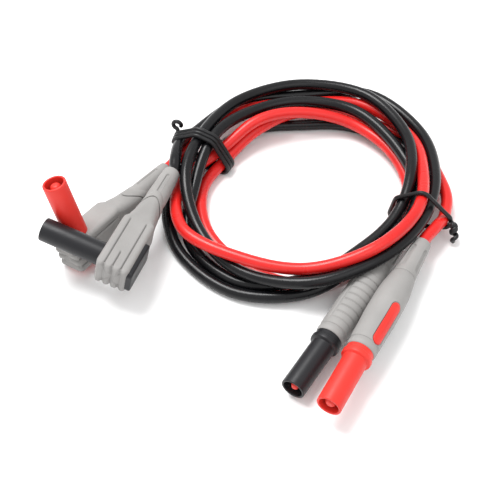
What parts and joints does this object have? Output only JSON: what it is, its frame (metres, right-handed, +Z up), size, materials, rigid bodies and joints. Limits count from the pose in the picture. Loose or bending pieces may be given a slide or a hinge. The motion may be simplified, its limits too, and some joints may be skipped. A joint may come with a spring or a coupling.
{
  "type": "multimeter test lead pair",
  "caption": "Pair of red and black silicone test leads with straight and right-angle shrouded 4 mm plugs, coiled and tied.",
  "frame": {"origin": "on the floor, below the middle of the box round the plugs and ties (cables left out)", "axes": "+X to the right along the longest side of that box, +Y away from the viewer, +Z up from the floor"},
  "size_m": [0.1354, 0.1386, 0.0331],
  "materials": {
    "black_silicone": "satin",
    "red_silicone": "satin",
    "black_plastic": "satin",
    "red_plastic": "satin",
    "gray_overmould": "matte",
    "nickel": "polished",
    "copper": "satin",
    "tie_plastic": "matte",
    "tie_steel": "satin"
  },
  "bodies": {
    "root": {"black_cable": "black_silicone", "red_cable": "red_silicone", "black_straight_shroud": "black_plastic", "black_straight_pin": "nickel", "black_straight_tip": "red_plastic", "black_straight_core": "black_plastic", "black_straight_grip": "gray_overmould", "black_straight_boot": "gray_overmould", "black_straight_wire": "copper", "black_angled_shroud": "black_plastic", "black_angled_pin": "nickel", "black_angled_tip": "red_plastic", "black_angled_core": "black_plastic", "black_angled_grip": "gray_overmould", "black_angled_boot": "gray_overmould", "black_angled_wire": "copper", "red_straight_shroud": "red_plastic", "red_straight_pin": "nickel", "red_straight_tip": "red_plastic", "red_straight_core": "red_plastic", "red_straight_grip": "gray_overmould", "red_straight_boot": "gray_overmould", "red_straight_wire": "copper", "red_angled_shroud": "red_plastic", "red_angled_pin": "nickel", "red_angled_tip": "red_plastic", "red_angled_core": "red_plastic", "red_angled_grip": "gray_overmould", "red_angled_boot": "gray_overmould", "red_angled_wire": "copper", "left_tie_coat": "tie_plastic", "left_tie_wire": "tie_steel", "right_tie_coat": "tie_plastic", "right_tie_wire": "tie_steel"},
    "black_straight_cage_body": {"black_straight_cage": "nickel"},
    "black_angled_cage_body": {"black_angled_cage": "nickel"},
    "red_straight_cage_body": {"red_straight_cage": "nickel"},
    "red_angled_cage_body": {"red_angled_cage": "nickel"}
  },
  "joints": [
    {"name": "black_straight_cage_spin", "type": "hinge", "parent": "root", "child": "black_straight_cage_body", "pos_m": [0.01573, -0.03857, 0.00553], "axis": [-0.5446, -0.8386, 0.0087], "continuous": true},
    {"name": "black_angled_cage_spin", "type": "hinge", "parent": "root", "child": "black_angled_cage_body", "pos_m": [-0.05835, 0.00074, 0.01808], "axis": [-0.9173, 0.345, 0.1991], "continuous": true},
    {"name": "red_straight_cage_spin", "type": "hinge", "parent": "root", "child": "red_straight_cage_body", "pos_m": [0.02502, -0.04687, 0.0107], "axis": [-0.4845, -0.8741, 0.0349], "continuous": true},
    {"name": "red_angled_cage_spin", "type": "hinge", "parent": "root", "child": "red_angled_cage_body", "pos_m": [-0.0602, 0.01047, 0.02392], "axis": [-0.2172, 0.1697, 0.9613], "continuous": true}
  ]
}
